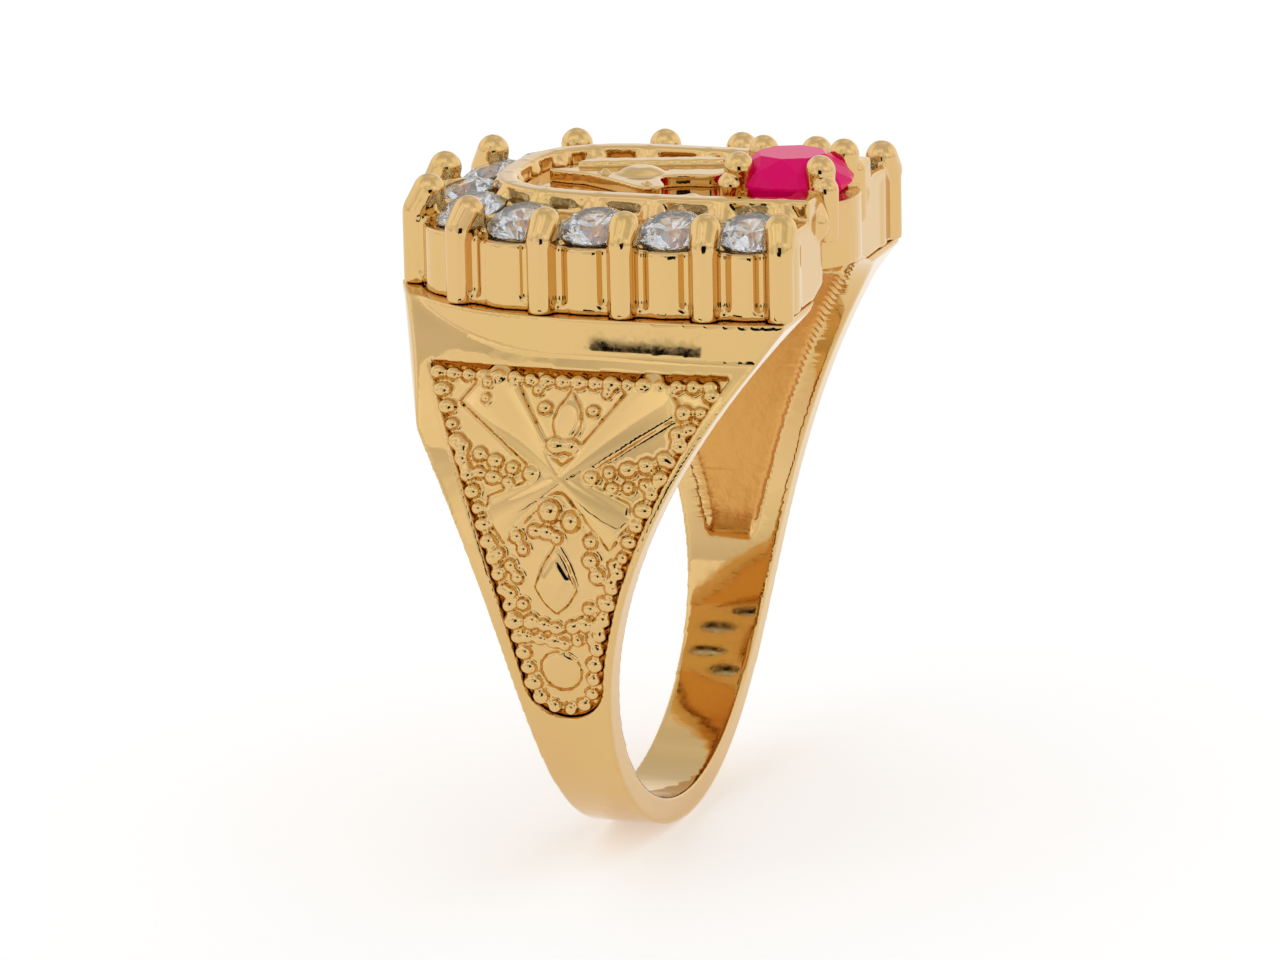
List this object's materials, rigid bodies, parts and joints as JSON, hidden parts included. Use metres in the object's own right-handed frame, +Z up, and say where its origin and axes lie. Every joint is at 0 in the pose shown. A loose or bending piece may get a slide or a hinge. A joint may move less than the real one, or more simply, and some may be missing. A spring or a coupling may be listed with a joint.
{
  "type": "finger ring",
  "caption": "Gold finger ring with a horseshoe head of claw-set round white stones, a larger round red stone at the heel and beaded shoulder panels.",
  "frame": {"origin": "centre of the finger bore", "axes": "+Y along the finger bore towards the horseshoe's toe, +Z up through the middle of the head, +X across the finger"},
  "size_m": [0.0222, 0.0164, 0.0249],
  "materials": {
    "gold": "polished yellow gold",
    "white_stone": "faceted, clear",
    "red_stone": "faceted, deep red"
  },
  "bodies": {
    "root": {"shank": "gold", "left_shoulder_panel": "gold", "right_shoulder_panel": "gold", "horseshoe_gallery": "gold", "centre_plate": "gold", "horse_head_relief": "gold", "ruby_collet": "gold", "red_stone": "red_stone", "white_stone_1": "white_stone", "white_stone_2": "white_stone", "white_stone_3": "white_stone", "white_stone_4": "white_stone", "white_stone_5": "white_stone", "white_stone_6": "white_stone", "white_stone_7": "white_stone", "white_stone_8": "white_stone", "white_stone_9": "white_stone", "white_stone_10": "white_stone", "white_stone_11": "white_stone", "white_stone_12": "white_stone"}
  },
  "joints": []
}
